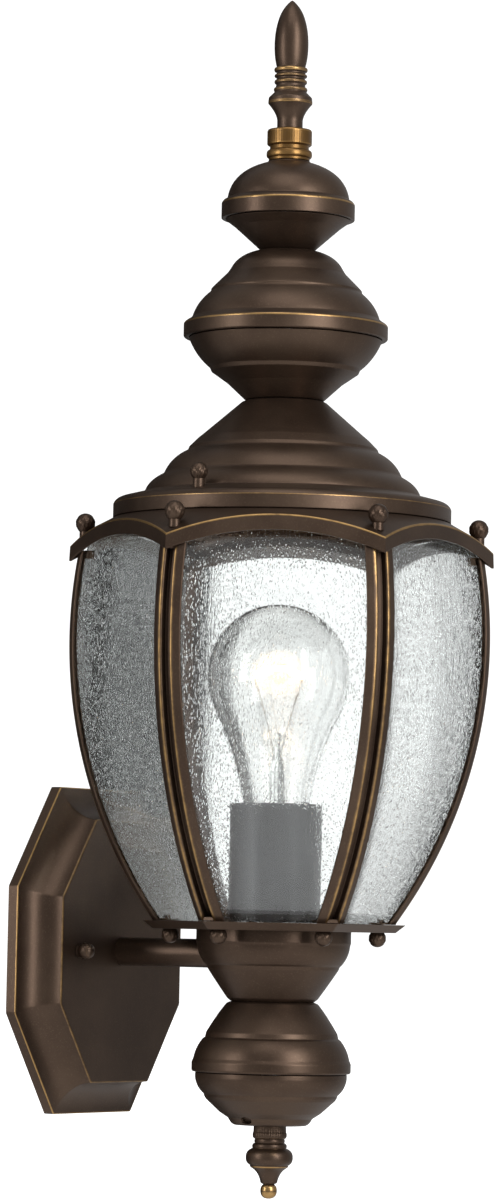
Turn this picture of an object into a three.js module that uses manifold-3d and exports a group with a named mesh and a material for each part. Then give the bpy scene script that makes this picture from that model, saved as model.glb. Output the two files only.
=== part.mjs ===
// Outdoor wall lantern: an octagonal back plate, a straight arm, a six-sided bent-glass cage and a
// stack of spun metal shells on threaded rods. Millimetres, +Z up. The wall is the plane y = 0 and the
// lantern hangs out along -Y; z = 0 is the arm's centre line.
import * as THREE from "three";
import { mergeVertices } from "three/addons/utils/BufferGeometryUtils.js";
import { ParametricGeometry } from "three/addons/geometries/ParametricGeometry.js";
import Module from "manifold-3d";

const wasm = await Module();
wasm.setup();

// Driving dimensions
const REACH = 95.5; // wall to the lantern's axis
const DROP = 1.2; // the stack's own zero lies this far below the arm's centre line
const GAP = 0.3; // clearance between neighbouring pieces
const WALL = 1.2; // spun and pressed sheet metal
const ROUND = 32; // facets round the large turned shells
const SMALL = 16; // facets round finials, bushes and rods
const TINY = 8; // facets round nuts and studs

const ROD_R = 2.9; // threaded rod through the upper stack
const ROD_HOLE = 3.3;
const STEM_R = 4.1; // threaded stem through the base stack
const STEM_HOLE = 4.6;

const cage = {
  sides: 6,
  belly: 89.7, // corner radius where the ribs stand out furthest
  bellyZ: 134.9,
  bow: 207.7, // radius of the ribs' curve, seen from the side
  bottomZ: 15.1,
  topZ: 166.4,
};
const rib = { groove: 1.9, ridge: 3.6, half: 6.4, drop: 1.6, depth: 4.6, web: 3.5, sheet: 1 };
const glass = { inset: 2, thick: 3, edge: 4.4 };
const crown = {
  edgeR: 78.3, // axis to the middle of a side
  cornerZ: 173.7,
  arch: 120.5, // radius of each side's arched edge
  skirt: 6.5,
  ringR: 72,
  ringZ: 185.5,
  openR: 57,
  nutR: 84,
};
const tray = { topR: 56.1, bottomR: 51.8, topZ: 14.8, bottomZ: 11.4, nutR: 44 };
const arm = { r: 6.1, bore: 4.9, endY: 16, backY: -9 };
const plate = {
  rim: { width: 120.6, height: 140.2, flatX: 59.5, flatZ: 54 },
  face: { width: 92.6, height: 113, flatX: 44.3, flatZ: 45.7 },
  rimY: 4.9,
  faceY: 18.7,
  studX: 34,
};
const screwAngle = 178.7; // the two roof screws, degrees from +X about the axis
const screwR = 64;

// Finishes
const bronze = { color: 0x3a2b22, roughness: 0.42, metalness: 0.6 };
const brass = { color: 0x8a6a34, roughness: 0.35, metalness: 0.85 };
const seeded = { color: 0xd9dddc, roughness: 0.1, metalness: 0, transparent: true, opacity: 0.35 };
const clear = { color: 0xf2f2ee, roughness: 0.03, metalness: 0, transparent: true, opacity: 0.2 };
const sleeveGrey = { color: 0x4b4b4d, roughness: 0.7, metalness: 0 };
const phenolic = { color: 0x1b1a19, roughness: 0.6, metalness: 0 };
const steel = { color: 0xa7a9ab, roughness: 0.4, metalness: 0.9 };
const insulation = { color: 0x202020, roughness: 0.6, metalness: 0 };

const part = new THREE.Group();
const lantern = new THREE.Group();
lantern.position.set(0, -REACH, -DROP);
part.add(lantern);

function piece(name, geometry, finish, parent = lantern) {
  const mesh = new THREE.Mesh(geometry, new THREE.MeshStandardMaterial(finish));
  mesh.name = name;
  parent.add(mesh);
  return mesh;
}

// A closed geometry as a solid that can be joined and cut, and back again.
function solid(geometry) {
  const bare = geometry.index ? geometry.toNonIndexed() : geometry.clone();
  bare.deleteAttribute("normal");
  bare.deleteAttribute("uv");
  const welded = mergeVertices(bare, 1e-4);
  const vertProperties = welded.attributes.position.array;
  const triVerts = new Uint32Array(welded.index.array);
  return new wasm.Manifold(new wasm.Mesh({ numProp: 3, vertProperties, triVerts }));
}

function shapeOf(made) {
  const mesh = made.getMesh();
  return new THREE.BufferGeometry()
    .setAttribute("position", new THREE.BufferAttribute(mesh.vertProperties, 3))
    .setIndex(new THREE.BufferAttribute(mesh.triVerts, 1));
}

function cut(geometry, ...tools) {
  return shapeOf(tools.reduce((left, tool) => left.subtract(solid(tool)), solid(geometry)));
}

function join(...geometries) {
  return shapeOf(geometries.map(solid).reduce((whole, next) => whole.add(next)));
}

function common(...geometries) {
  return shapeOf(geometries.map(solid).reduce((whole, next) => whole.intersect(next)));
}

// An outline of [r, z] points turned about Z. A four-number entry is a curve: its control point
// comes first, then its end.
function outline(entries, steps) {
  const path = new THREE.Path();
  path.moveTo(...entries[0]);
  for (const entry of entries.slice(1)) {
    if (entry.length === 4) path.quadraticCurveTo(...entry);
    else path.lineTo(...entry);
  }
  return path.getPoints(steps);
}

function turned(entries, segments = ROUND, steps = 2) {
  const points = outline(entries, steps);
  if (THREE.ShapeUtils.isClockWise(points)) points.reverse();
  return new THREE.LatheGeometry(points, segments).rotateX(Math.PI / 2);
}

function rod(radius, z0, z1, segments = SMALL) {
  return turned([[0, z0], [radius, z0], [radius, z1], [0, z1]], segments);
}

function tube(outer, bore, z0, z1, segments = SMALL) {
  return turned([[bore, z0], [outer, z0], [outer, z1], [bore, z1], [bore, z0]], segments);
}

function hexNut(outer, bore, height) {
  return cut(rod(outer, 0, height, 6), rod(bore, -1, height + 1));
}

function polar(radius, degrees) {
  const angle = THREE.MathUtils.degToRad(degrees);
  return [radius * Math.cos(angle), radius * Math.sin(angle)];
}

function prism(points, depth) {
  const shape = new THREE.Shape(points.map(([x, y]) => new THREE.Vector2(x, y)));
  return new THREE.ExtrudeGeometry(shape, { depth, bevelEnabled: false, curveSegments: 8 });
}

// Stack of shells above the roof
function makeFinial() {
  const top = [
    [0, 367.5], [ROD_HOLE, 367.5], [ROD_HOLE, 354.8], [5.5, 354.8], [5.5, 358.5],
    [5.9, 361.7, 9.5, 365.7], [9.5, 366.2], [6.9, 370.3], [7.2, 371.3], [6.4, 372.5],
    [6.4, 374.1], [6, 374.6], [6, 376.5], [6.6, 377.1], [6.3, 378.2], [7, 378.9],
    [7, 380.1], [6.1, 380.9], [7.3, 385.5, 7.3, 391], [7.3, 398.3, 5.1, 404],
    [3.6, 407.7, 0, 410.6],
  ];
  piece("finial_top", turned(top, SMALL, 3), bronze);
  const collar = [
    [ROD_HOLE, 340.9], [8.7, 340.9], [9.6, 342.2], [9.6, 344.4], [8.6, 345.7], [8.6, 347.1],
    [9.5, 347.7], [9.6, 353.6], [9.2, 354.4], [ROD_HOLE, 354.4], [ROD_HOLE, 340.9],
  ];
  piece("finial_collar", turned(collar, 16), brass);
}

function makeCap() {
  const dome = [
    [26.2, 315.6], [28.6, 315.6], [28.6, 322.3], [26.1, 324.2], [24.7, 336, 9.5, 340],
    [9.1, 340.6], [ROD_HOLE, 340.6], [ROD_HOLE, 339.3], [8.5, 338.7], [23.5, 334.8, 24.6, 323.7],
    [26.2, 320.5], [26.2, 315.6],
  ];
  piece("cap_dome", turned(dome), bronze);
  const cone = [
    [ROD_HOLE, 302], [11.3, 302], [22.6, 312.1], [26.9, 315.3], [24.9, 315.3],
    [21.6, 313.1], [10.8, 303.3], [ROD_HOLE, 303.3], [ROD_HOLE, 302],
  ];
  piece("cap_cone", turned(cone), bronze);
}

function makeDoubleBowl() {
  const upper = [
    [41.2, 264.1], [43.7, 264.1], [43.7, 270.2], [40.3, 272.6], [38.6, 278.8, 33, 283.3],
    [32.3, 284.6], [25.3, 292.1], [23.4, 295.2], [20.5, 299.9, 13.2, 301.7], [ROD_HOLE, 301.7],
    [ROD_HOLE, 300.5], [12.8, 300.5], [21.9, 295.2], [30.9, 284], [38.6, 272.6], [41.2, 269.4],
    [41.2, 264.1],
  ];
  piece("bowl_upper", turned(upper), bronze);
  const lower = [
    [ROD_HOLE, 237.5], [16.7, 237.5], [24.6, 244.8], [31.3, 249.5], [32.2, 251.2],
    [37.4, 255.4, 40.3, 261.4], [41.4, 263.8], [39.9, 263.8], [36.6, 256.8, 31.5, 252.3],
    [16.2, 238.7], [ROD_HOLE, 238.7], [ROD_HOLE, 237.5],
  ];
  piece("bowl_lower", turned(lower), bronze);
}

function screwPlaces() {
  return [0, 180].map((turn) => polar(screwR, screwAngle + turn));
}

function makeRoof() {
  const shell = [
    [70.8, 185.8], [72.2, 185.8], [72.2, 191.6], [71.4, 193.2, 69.6, 194.2], [59.4, 196.8],
    [57.6, 201.4, 51.4, 204.9], [50.8, 205.6], [47.8, 212.2, 41.3, 215.2], [40.3, 217],
    [34.2, 222.7], [16.7, 237.2], [ROD_HOLE, 237.2], [ROD_HOLE, 236], [15.8, 236],
    [32.8, 221.8], [39.2, 215.6], [49.4, 204.8], [57.9, 195.9], [70.8, 191.7], [70.8, 185.8],
  ];
  const holes = screwPlaces().map(([x, y]) => rod(1.9, 180, 205, TINY).translate(x, y, 0));
  piece("roof", cut(turned(shell), ...holes), bronze);
  piece("stack_rod", rod(ROD_R, 226, 366), steel);
  piece("stack_nut", hexNut(6.4, ROD_HOLE, 4.7), steel).position.z = 231;
}

// A ball-headed fastener standing on z = 0: a ball on a short neck, and a shank below it.
function ballNut(ball, neck, shank) {
  const ballZ = neck + ball * 0.8;
  const profile = [
    [0, -shank], [1.5, -shank], [1.5, 0], [ball * 0.5, 0], [ball * 0.6, neck], [ball, ballZ],
    [ball * 0.68, ballZ + ball * 0.74], [0, ballZ + ball],
  ];
  return turned(profile, TINY);
}

function makeRoofScrews() {
  screwPlaces().forEach(([x, y], i) => {
    const screw = piece(`roof_screw_${i + 1}`, ballNut(3.85, 1.6, 10), bronze);
    screw.position.set(x, y, 197.1);
  });
}

// Crown: a pressed six-sided plate whose sides are arches, rising to a round collar.
function archZ(across) {
  const half = crown.edgeR * Math.tan(Math.PI / 6);
  const base = Math.sqrt(crown.arch ** 2 - half ** 2);
  return crown.cornerZ + Math.sqrt(crown.arch ** 2 - across ** 2) - base;
}

function crownSection(turn) {
  const side = Math.PI / 3;
  const swing = ((((turn % side) + side) % side) - side / 2);
  const edge = crown.edgeR / Math.cos(swing);
  const top = archZ(crown.edgeR * Math.tan(swing));
  const { ringR, ringZ, openR, skirt } = crown;
  return [
    [edge + GAP, top - skirt], [edge, top], [ringR, ringZ], [69.6, ringZ], [69.6, 190],
    [openR, 190], [openR, 188.8], [68.4, 188.8], [68.4, ringZ - 1.6],
    [edge - 1.4, top - 1.9], [edge - 0.9, top - skirt],
  ];
}

function makeCrown() {
  const perSide = 4;
  const knots = crownSection(0).length;
  const surface = (u, v, target) => {
    const turn = u * 2 * Math.PI;
    const [r, z] = crownSection(turn)[Math.round(v * knots) % knots];
    target.set(r * Math.cos(turn), r * Math.sin(turn), z);
  };
  const shell = new ParametricGeometry(surface, cage.sides * perSide, knots);
  const holes = [];
  for (let i = 0; i < cage.sides; i++) {
    const [x, y] = polar(crown.nutR, 60 * i);
    holes.push(rod(1.9, 165, 185, TINY).translate(x, y, 0));
  }
  for (const [x, y] of screwPlaces()) {
    holes.push(rod(1.9, 186, 193, TINY).translate(x, y, 0));
  }
  piece("crown", cut(shell, ...holes), bronze);
  for (let i = 0; i < cage.sides; i++) {
    const [x, y] = polar(crown.nutR, 60 * i);
    piece(`crown_nut_${i + 1}`, ballNut(4.3, 0.2, 11), bronze).position.set(x, y, 179.9);
  }
}

// Ribs: folded channels with two ridges and a groove, bowed in the plane through the axis.
class RibCurve extends THREE.Curve {
  getPoint(t, target = new THREE.Vector3()) {
    const z = THREE.MathUtils.lerp(cage.bottomZ - 6, cage.topZ + 4, t);
    return target.set(cornerR(z), 0, z);
  }
}

function cornerR(z) {
  return cage.belly - cage.bow + Math.sqrt(cage.bow ** 2 - (z - cage.bellyZ) ** 2);
}

function ribSection() {
  const { groove, ridge, half, drop, depth, web, sheet } = rib;
  const right = [
    [groove, -web], [groove, 0], [ridge, 0], [half, -drop],
    [half, -drop - sheet], [ridge + 0.2, -sheet], [ridge + 0.2, -depth],
  ];
  const left = right.map(([t, n]) => [-t, n]).reverse();
  return new THREE.Shape([...right, ...left].map(([t, n]) => new THREE.Vector2(t, n)));
}

function makeRibs() {
  const bar = new THREE.ExtrudeGeometry(ribSection(), { steps: 8, extrudePath: new RibCurve() });
  const keep = rod(110, cage.bottomZ, cage.topZ, 6);
  const foot = new THREE.BoxGeometry(13, 6.6, 1.8).translate(45.4, 0, cage.bottomZ + 0.9);
  const head = new THREE.BoxGeometry(7.6, 6.6, 5).translate(82.7, 0, cage.topZ + 0.9);
  const body = cut(
    join(common(bar, keep), foot, head),
    rod(1.9, 0, 30, TINY).translate(tray.nutR, 0, 0),
    rod(1.9, 150, 180, TINY).translate(crown.nutR, 0, 0),
  );
  for (let i = 0; i < cage.sides; i++) {
    piece(`rib_${i + 1}`, body.clone(), bronze).rotation.z = (i * Math.PI) / 3;
  }
}

// Glass: a strip bent over an ellipse, trimmed to the ribs at both sides and to an arch on top.
function glassStrip() {
  const lean = Math.cos(Math.PI / 6);
  const reachX = cage.bow * lean;
  const centre = (cage.belly - cage.bow) * lean + rib.ridge / 2 - glass.inset;
  const shape = new THREE.Shape();
  const low = Math.asin((cage.bottomZ - 2 - cage.bellyZ) / cage.bow);
  const high = Math.asin((186 - cage.bellyZ) / cage.bow);
  shape.absellipse(centre, cage.bellyZ, reachX, cage.bow, low, high, false);
  shape.absellipse(centre - glass.thick, cage.bellyZ, reachX, cage.bow, high, low, true);
  const depth = 120;
  const strip = new THREE.ExtrudeGeometry(shape, { depth, bevelEnabled: false, curveSegments: 7 });
  return strip.translate(0, 0, -depth / 2).rotateX(Math.PI / 2);
}

function makeGlass() {
  const apex = 2 * glass.edge;
  const sides = [-30, 30].map((degrees) => polar(140, degrees)).map(([x, y]) => [x + apex, y]);
  const wedge = prism([[apex, 0], ...sides], 200);
  const arch = new THREE.Shape();
  arch.moveTo(-60, cage.bottomZ + GAP);
  arch.lineTo(60, cage.bottomZ + GAP);
  arch.lineTo(60, 160);
  arch.absarc(0, crown.cornerZ + 5.6 - crown.arch, crown.arch, 0.52, Math.PI - 0.52, false);
  arch.lineTo(-60, 160);
  const window = new THREE.ExtrudeGeometry(arch, { depth: 120, bevelEnabled: false, curveSegments: 5 });
  window.rotateX(Math.PI / 2).rotateZ(Math.PI / 2);
  const pane = common(glassStrip(), wedge, window);
  for (let i = 0; i < cage.sides; i++) {
    piece(`glass_${i + 1}`, pane.clone(), seeded).rotation.z = ((i + 0.5) * Math.PI) / 3;
  }
}

// Base: a six-sided tray, a cup that takes the arm, a round knob and a small finial.
function makeTray() {
  const { topR, bottomR, topZ, bottomZ, nutR } = tray;
  const profile = [
    [STEM_HOLE + 0.8, topZ - WALL], [topR - 3.6, topZ - WALL], [bottomR - WALL, bottomZ],
    [bottomR, bottomZ], [topR, topZ], [STEM_HOLE + 0.8, topZ], [STEM_HOLE + 0.8, topZ - WALL],
  ];
  const sheet = turned(profile, cage.sides).rotateZ(Math.PI / 6);
  const holes = [];
  for (let i = 0; i < cage.sides; i++) {
    const [x, y] = polar(nutR, 60 * i);
    holes.push(rod(1.9, 5, 20, TINY).translate(x, y, 0));
  }
  const wireHole = rod(3.6, 5, 20, TINY).translate(0, 11, 0);
  piece("bottom_tray", cut(sheet, ...holes, wireHole), bronze);
  for (let i = 0; i < cage.sides; i++) {
    const [x, y] = polar(nutR, 60 * i);
    const nut = piece(`tray_nut_${i + 1}`, ballNut(3.8, 1.2, 4.8), bronze);
    nut.rotation.x = Math.PI;
    nut.position.set(x, y, topZ - WALL - GAP);
  }
}

function makeCup() {
  const cup = [
    [STEM_HOLE, -18.4], [17.8, -18.4], [19.3, -17.3], [24.2, -10.4, 27.8, -4.8], [28.3, -3.4],
    [29.2, -2.6], [31.7, 0.4, 32.4, 4.2], [32.9, 6.5], [32.9, 11.1], [31.6, 11.1], [31.2, 4.4],
    [26.6, -4.6], [17.4, -17.1], [STEM_HOLE, -17.1], [STEM_HOLE, -18.4],
  ];
  const armHole = rod(arm.r + 0.4, 15, 45, 16).rotateX(-Math.PI / 2).translate(0, 0, DROP);
  piece("base_cup", cut(turned(cup), armHole), bronze);
}

function makeKnob() {
  const upper = [
    [STEM_HOLE, -20], [STEM_HOLE, -18.7], [17.8, -18.7], [19.4, -19.4], [23.8, -24.8, 27.9, -31.9],
    [28.4, -33.9], [29.3, -34.5], [32.2, -38.4, 33.1, -42.9], [33.8, -44.6], [33.8, -48.6],
    [32.5, -48.6], [31.7, -43.4], [27.2, -34.4], [17.4, -20], [STEM_HOLE, -20],
  ];
  piece("knob_upper", turned(upper), bronze);
  const lower = [
    [STEM_HOLE, -70.8], [15.2, -70.8], [17.9, -67.9], [21.7, -65.4], [27.4, -60.1],
    [28.3, -58], [31.6, -55.2, 32.2, -51], [32.2, -48.9], [30.9, -48.9], [30.4, -52.4],
    [26.2, -58.4], [14.8, -69.5], [STEM_HOLE, -69.5], [STEM_HOLE, -70.8],
  ];
  const weep = rod(2.4, 10, 30, TINY).rotateY(Math.PI / 2);
  weep.rotateZ(THREE.MathUtils.degToRad(176)).translate(0, 0, -68);
  piece("knob_lower", cut(turned(lower), weep), bronze);
  const tip = [
    [0, -83.4], [STEM_HOLE, -83.4], [STEM_HOLE, -71.1], [6.9, -71.1], [6.9, -73.8], [7.3, -75],
    [6.3, -76.9], [6.3, -78.4], [7.2, -79.1], [7.2, -80.6], [12.1, -84.3, 8.2, -87.8],
    [7.6, -88.4], [7.6, -89], [4.4, -91, 3.5, -95], [2.4, -96], [4.6, -98.4, 2.8, -100.7],
    [0, -101.8],
  ];
  piece("finial_bottom", turned(tip, SMALL), bronze);
  piece("base_stem", rod(STEM_R, -83.1, 27), steel);
}

// Lamp: grey sleeve, lampholder and a clear bulb with its cap, stem and filament mount.
function makeSocket() {
  const sleeve = [
    [STEM_HOLE, 15.2], [19.6, 15.2], [19.6, 65.5], [18.5, 65.5], [18.5, 16.4],
    [STEM_HOLE, 16.4], [STEM_HOLE, 15.2],
  ];
  const wireHole = rod(3.4, 10, 20, TINY).translate(0, 11, 0);
  piece("socket_sleeve", cut(turned(sleeve), wireHole), sleeveGrey);
  const holder = [
    [STEM_HOLE, 22], [16.8, 22], [17.6, 24], [17.6, 60], [16.9, 61.5], [13.9, 61.5],
    [13.9, 33], [STEM_HOLE, 33], [STEM_HOLE, 22],
  ];
  const leadHoles = [-1, 1].map((side) => rod(1.5, 15, 29, TINY).translate(side * 1.9, 11, 0));
  piece("lampholder", cut(turned(holder, 16), ...leadHoles), phenolic);
}

function makeBulb() {
  const envelope = [
    [12.4, 61.6], [13.4, 61.6], [14.2, 66], [15.4, 72], [17.6, 82, 23.4, 98],
    [30, 108.4, 30, 120.2], [30, 136.8, 21.2, 141.4], [12.4, 150.2, 0, 150.2], [0, 149.3],
    [11.6, 149.3, 20.6, 140.8], [29.2, 136, 29.1, 120.2], [29.1, 108.9, 22.5, 98.4],
    [16.7, 82.3, 14.5, 72.2], [13.2, 66], [12.4, 61.6],
  ];
  piece("bulb_glass", turned(envelope, 16), clear);
  const cap = [
    [0, 33.9], [4.2, 33.9], [5, 36], [11.4, 38.4], [13, 40], [13, 61.2], [12.1, 61.2],
    [12.1, 41], [4, 38.6], [0, 38.6],
  ];
  piece("bulb_cap", turned(cap, 16), brass);
  const mount = [
    [0, 40], [9, 40.4], [9, 42.6], [4, 46], [3.2, 82], [2.2, 86, 2, 89], [1, 90.6],
    [1, 110], [2.6, 112.6], [0, 114],
  ];
  piece("bulb_mount", turned(mount, TINY), clear);
}

// Arm and back plate
function octagon({ width, height, flatX, flatZ }) {
  const [w, h, x, z] = [width / 2, height / 2, flatX / 2, flatZ / 2];
  return [[w, z], [x, h], [-x, h], [-w, z], [-w, -z], [-x, -h], [x, -h], [w, -z]];
}

// Eight-cornered rings from the wall to the face, mixing the rim's outline into the face's:
// each row is [mix, scale, depth].
function makePlate() {
  const hub = (arm.r + 0.6) / (plate.face.width / 2);
  const rows = [
    [0, 1, 0], [0, 1, plate.rimY], [0.45, 1, 6.6], [0.82, 1, 11.4], [1, 1, plate.faceY],
    [1, hub, plate.faceY], [1, hub, plate.faceY - 1.4], [1, 0.965, plate.faceY - 1.4],
    [0.86, 0.975, 10.2], [0.45, 0.975, 5.1], [0, 0.98, 3.2], [0, 0.98, 0],
  ];
  const rim = octagon(plate.rim);
  const face = octagon(plate.face);
  const surface = (u, v, target) => {
    const [mix, scale, depth] = rows[Math.round(v * rows.length) % rows.length];
    const corner = Math.round(u * 8) % 8;
    const x = THREE.MathUtils.lerp(rim[corner][0], face[corner][0], mix) * scale;
    const z = THREE.MathUtils.lerp(rim[corner][1], face[corner][1], mix) * scale;
    target.set(x, -depth, z);
  };
  const shell = new ParametricGeometry(surface, 8, rows.length);
  const holes = [-1, 1].map((side) =>
    rod(1.9, 0, 30, TINY).rotateX(Math.PI / 2).translate(side * plate.studX, 0, 0),
  );
  piece("back_plate", cut(shell, ...holes), bronze, part);
}

function makeArm() {
  const length = REACH - arm.endY + arm.backY;
  const pipe = tube(arm.r, arm.bore, 0, length, 16).rotateX(-Math.PI / 2);
  piece("arm_tube", pipe, bronze).position.set(0, arm.endY, DROP);
  const nut = hexNut(10.5, arm.r + 0.4, 3.2).rotateX(Math.PI / 2);
  piece("arm_nut_wall", nut.clone(), steel, part).position.y = -11.6;
  piece("arm_nut_cup", nut.clone(), steel).position.set(0, 20.4, DROP);
}

function makeWallBar() {
  const slot = (x) => prism([[x - 5, -2.2], [x + 5, -2.2], [x + 5, 2.2], [x - 5, 2.2]], 8);
  const upright = (geometry) => geometry.rotateX(Math.PI / 2).translate(0, 2, 0);
  const bar = new THREE.BoxGeometry(106, 2, 19).translate(0, -1, 0);
  const studHoles = [-1, 1].map((side) =>
    rod(2, -4, 8, TINY).rotateX(Math.PI / 2).translate(side * plate.studX, 0, 0),
  );
  const slots = [-1, 1].map((side) => upright(slot(side * 45)));
  const groundHole = rod(2, -4, 8, TINY).rotateX(Math.PI / 2).translate(20, 0, 0);
  piece("mounting_bar", cut(bar, ...slots, ...studHoles, groundHole), steel, part);
  [-1, 1].forEach((side, i) => {
    const stud = rod(1.6, 0.2, plate.faceY + 1.8, TINY).rotateX(Math.PI / 2);
    piece(`canopy_stud_${i + 1}`, stud, steel, part).position.x = side * plate.studX;
    const cap = piece(`canopy_nut_${i + 1}`, capNut(), bronze, part);
    cap.rotation.x = Math.PI / 2;
    cap.position.set(side * plate.studX, -plate.faceY - GAP, 0);
  });
  const ground = [[0, 0.2], [1.7, 0.2], [1.7, 2.3], [4, 2.3], [4, 3.4], [2.6, 4.6], [0, 4.6]];
  const screw = piece("ground_screw", turned(ground, TINY).rotateX(Math.PI / 2), brass, part);
  screw.position.x = 20;
}

// A ball nut with a blind hole for the stud behind it.
function capNut() {
  const ball = 3.5;
  const profile = [
    [0, 2.6], [2, 2.6], [2, 0], [2.8, 0], [2.6, 1], [ball * 1.25, 2.6, ball * 0.86, 5.8],
    [ball * 0.5, 7.4, 0, 7.4],
  ];
  return turned(profile, TINY, 2);
}

// Two leads: from behind the plate, through the arm, up through the tray into the lampholder.
function makeLeads() {
  ["lead_line", "lead_neutral"].forEach((name, i) => {
    const side = i === 0 ? -1.9 : 1.9;
    const turnY = 11 - REACH;
    const route = [[side * 9, -7, 24], [side * 5, -6, 9], [side, -8, 0.6], [side, -16, 0]];
    route.push([side, -45, 0], [side, turnY + 9, 0], [side, turnY + 2.5, 1.6]);
    route.push([side, turnY, 8], [side, turnY, 17], [side, turnY, 27]);
    const curve = new THREE.CatmullRomCurve3(route.map((p) => new THREE.Vector3(...p)));
    const section = new THREE.Shape().absarc(0, 0, 1.1, 0, 2 * Math.PI, false);
    const options = { steps: 18, extrudePath: curve, curveSegments: 3 };
    piece(name, new THREE.ExtrudeGeometry(section, options), insulation, part);
  });
}

makeFinial();
makeCap();
makeDoubleBowl();
makeRoof();
makeRoofScrews();
makeCrown();
makeRibs();
makeGlass();
makeTray();
makeCup();
makeKnob();
makeSocket();
makeBulb();
makePlate();
makeArm();
makeWallBar();
makeLeads();

export default part;
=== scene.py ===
import math

import bpy
import numpy as np
from mathutils import Matrix, Vector


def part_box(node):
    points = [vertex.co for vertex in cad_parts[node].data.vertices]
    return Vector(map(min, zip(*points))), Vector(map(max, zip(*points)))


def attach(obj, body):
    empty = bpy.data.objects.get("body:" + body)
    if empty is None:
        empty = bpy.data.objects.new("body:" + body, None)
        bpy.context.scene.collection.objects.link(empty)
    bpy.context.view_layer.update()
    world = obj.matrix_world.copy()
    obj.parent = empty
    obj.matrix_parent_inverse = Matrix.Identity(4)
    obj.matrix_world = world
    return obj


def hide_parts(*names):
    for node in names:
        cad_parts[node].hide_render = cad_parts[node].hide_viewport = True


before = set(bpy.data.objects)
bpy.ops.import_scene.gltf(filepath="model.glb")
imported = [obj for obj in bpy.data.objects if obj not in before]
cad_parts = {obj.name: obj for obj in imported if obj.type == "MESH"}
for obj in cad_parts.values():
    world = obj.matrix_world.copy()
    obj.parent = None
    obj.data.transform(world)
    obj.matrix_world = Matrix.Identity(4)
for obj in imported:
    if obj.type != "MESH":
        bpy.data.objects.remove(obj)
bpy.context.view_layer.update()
mm = 0.001

# The lantern's axis is the stem's, and heights are measured from 27 mm below the stem's top.
stemTop = 27 * mm
stemLow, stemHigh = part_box("base_stem")
axisPlace = Vector(((stemLow.x + stemHigh.x) / 2, (stemLow.y + stemHigh.y) / 2, stemHigh.z - stemTop))
upFrame = (Vector((1, 0, 0)), Vector((0, 1, 0)), Vector((0, 0, 1)))
print("frame loaded:", len(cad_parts), "nodes")

# Camera, floor and light.

cameraSettings = {
    "bearing": -58.16, "distance": 2.128, "height": 0.0106, "lens": 150.0,
    "pitch": 3.8, "aside": -0.355, "roll": 1.17, "sensor": 36.0, "clipEnd": 60.0,
}


# A level direction from its bearing: 0 looks along +Y, -90 looks along +X.
def levelDirection(bearing):
    angle = math.radians(bearing)
    return Vector((-math.sin(angle), math.cos(angle), 0.0))


def makeCamera(s):
    toward = levelDirection(s["bearing"])
    right = toward.cross(Vector((0, 0, 1)))
    eye = axisPlace - toward * s["distance"] + Vector((0, 0, s["height"]))
    pitch, aside, roll = (math.radians(s[k]) for k in ("pitch", "aside", "roll"))
    level = toward * math.cos(aside) + right * math.sin(aside)
    right = level.cross(Vector((0, 0, 1)))
    look = level * math.cos(pitch) + Vector((0, 0, 1)) * math.sin(pitch)
    up = right.cross(look)
    turnedRight = right * math.cos(roll) + up * math.sin(roll)
    turnedUp = up * math.cos(roll) - right * math.sin(roll)
    data = bpy.data.cameras.new("camera")
    data.lens = s["lens"]
    data.sensor_width = s["sensor"]
    data.clip_end = s["clipEnd"]
    camera = bpy.data.objects.new("camera", data)
    bpy.context.scene.collection.objects.link(camera)
    turn = Matrix((turnedRight, turnedUp, -look)).transposed().to_4x4()
    camera.matrix_world = Matrix.Translation(eye) @ turn
    bpy.context.scene.camera = camera


makeCamera(cameraSettings)

# Boxes: name, bearing, height, distance, size and power. Cards: mm as seen at the lantern's axis,
# with the cage's side as a circle of radius "bow" whose centre is "bowCentre" out and "bowZ" up.
stageSettings = {
    "floorZ": -0.62, "floorSize": 60.0, "floorColour": (0.93, 0.93, 0.93), "sky": 0.4, "white": 1.18,
    "boxes": (
        ("boxRight", -20, 0.6, 1.6, (0.6, 1.4), 22),
        ("boxLeft", -118, 0.4, 1.7, (0.4, 1.2), 11),
        ("boxTop", -60, 1.6, 0.8, (1.2, 1.2), 9),
    ),
    "aimZ": 0.12,
    "card": {
        "bearing": -58.16, "away": 0.5, "spread": 1.235, "eyeZ": 10.6, "innerLeft": 29.5, "farLeft": 1500.0,
        "rightBand": 17.0, "overlap": 12.0, "low": -480.0, "high": 700.0, "cageTop": 200.0,
        "bow": 207.7, "bowCentre": -118.0, "bowZ": 134.9, "paper": 0.03,
    },
}


def softBox(name, bearing, height, distance, size, power, aimZ):
    data = bpy.data.lights.new(name, "AREA")
    data.shape = "RECTANGLE"
    data.size, data.size_y = size
    data.energy = power
    lamp = bpy.data.objects.new(name, data)
    bpy.context.scene.collection.objects.link(lamp)
    place = axisPlace - levelDirection(bearing) * distance + Vector((0, 0, height))
    aim = axisPlace + Vector((0, 0, aimZ))
    turn = (place - aim).to_track_quat("Z", "Y").to_matrix().to_4x4()
    lamp.matrix_world = Matrix.Translation(place) @ turn


# One value for rays that light or are reflected, another for rays that look straight or through glass.
def whenSeen(tree, other, seenValue):
    path = tree.nodes.new("ShaderNodeLightPath")
    seen = tree.nodes.new("ShaderNodeMath")
    seen.operation = "MAXIMUM"
    tree.links.new(path.outputs["Is Camera Ray"], seen.inputs[0])
    tree.links.new(path.outputs["Is Transmission Ray"], seen.inputs[1])
    level = tree.nodes.new("ShaderNodeMapRange")
    level.inputs["To Min"].default_value = other
    level.inputs["To Max"].default_value = seenValue
    tree.links.new(seen.outputs[0], level.inputs["Value"])
    return level.outputs["Result"]


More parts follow.
